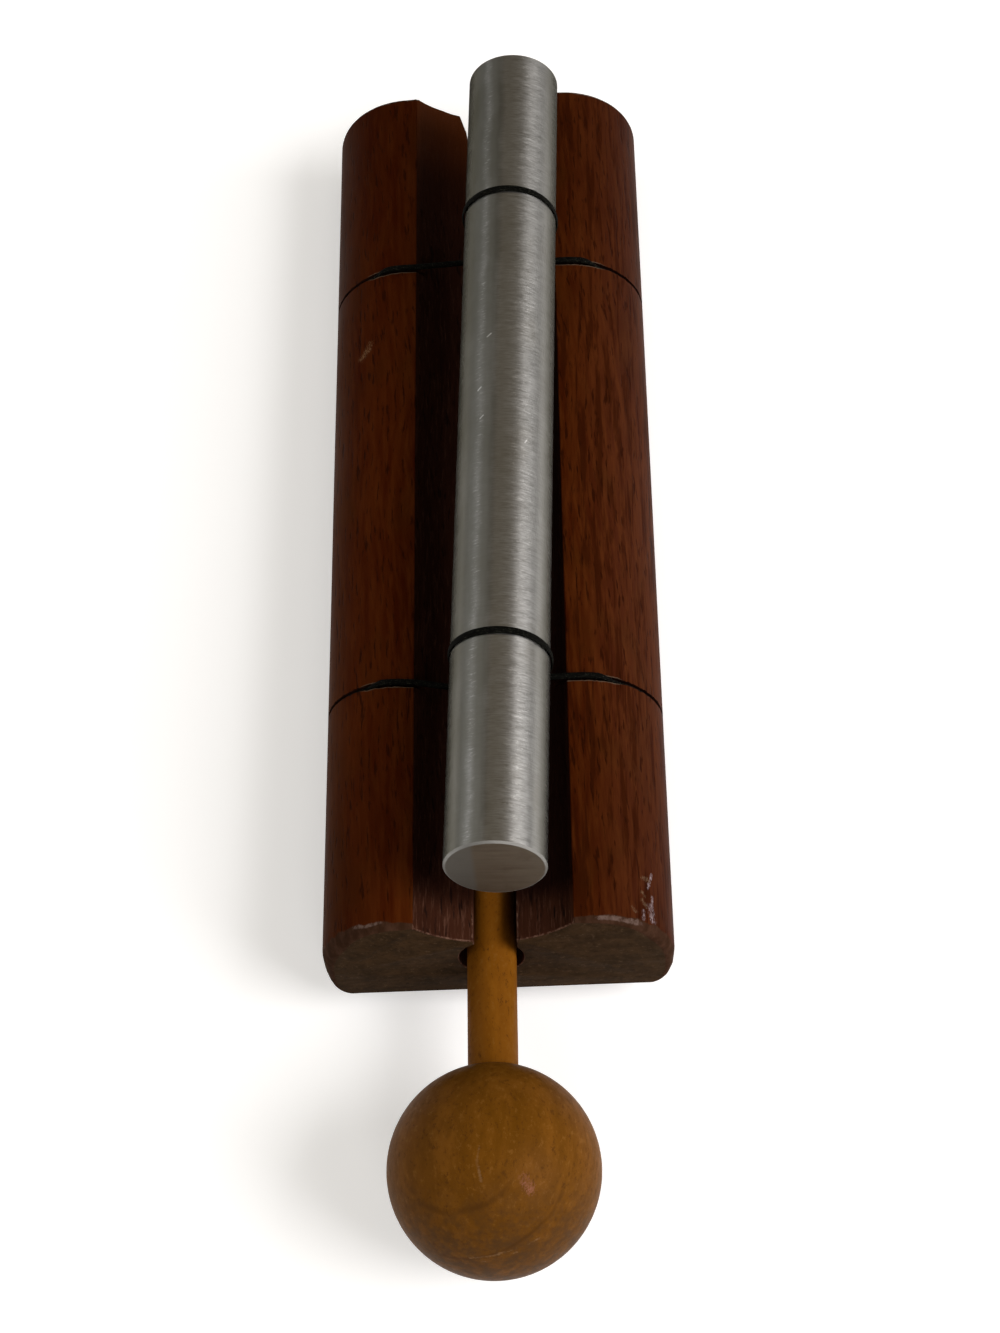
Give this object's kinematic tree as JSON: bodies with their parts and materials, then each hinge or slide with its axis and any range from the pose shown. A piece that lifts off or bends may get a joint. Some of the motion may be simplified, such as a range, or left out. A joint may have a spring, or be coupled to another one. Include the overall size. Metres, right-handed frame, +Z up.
{
  "type": "chime bar",
  "caption": "Struck chime: a solid aluminium rod slung on elastic cords over a hollowed hardwood block, with a wooden ball mallet kept in the block's bore.",
  "frame": {"origin": "middle of the block's flat underside", "axes": "+Z up out of the block's top, +Y along the block away from the mallet's ball, +X to the right seen from the ball's end"},
  "size_m": [0.0648, 0.2629, 0.0544],
  "materials": {
    "block_wood": "dark red-brown hardwood under worn satin varnish",
    "bar_metal": "satin, brushed round the rod",
    "cord_elastic": "black braided elastic",
    "handle_wood": "honey-coloured dowel, matt",
    "ball_wood": "honey-coloured turned ball, matt with scratches"
  },
  "bodies": {
    "base": {"base_block": "block_wood", "front_cord": "cord_elastic", "rear_cord": "cord_elastic"},
    "chime": {"chime_bar": "bar_metal"},
    "mallet": {"mallet_handle": "handle_wood", "mallet_head": "ball_wood"}
  },
  "joints": [
    {"name": "chime_bounce", "type": "slide", "parent": "base", "child": "chime", "axis": [0, 0, 1], "range_m": [-0.003, 0.003], "stiffness_N_per_m": 500, "springref_m": 0.00272, "deforming": ["front_cord", "rear_cord"]},
    {"name": "mallet_slide", "type": "slide", "parent": "base", "child": "mallet", "axis": [0, -1, 0], "range_m": [-0.02, 0.12]}
  ]
}
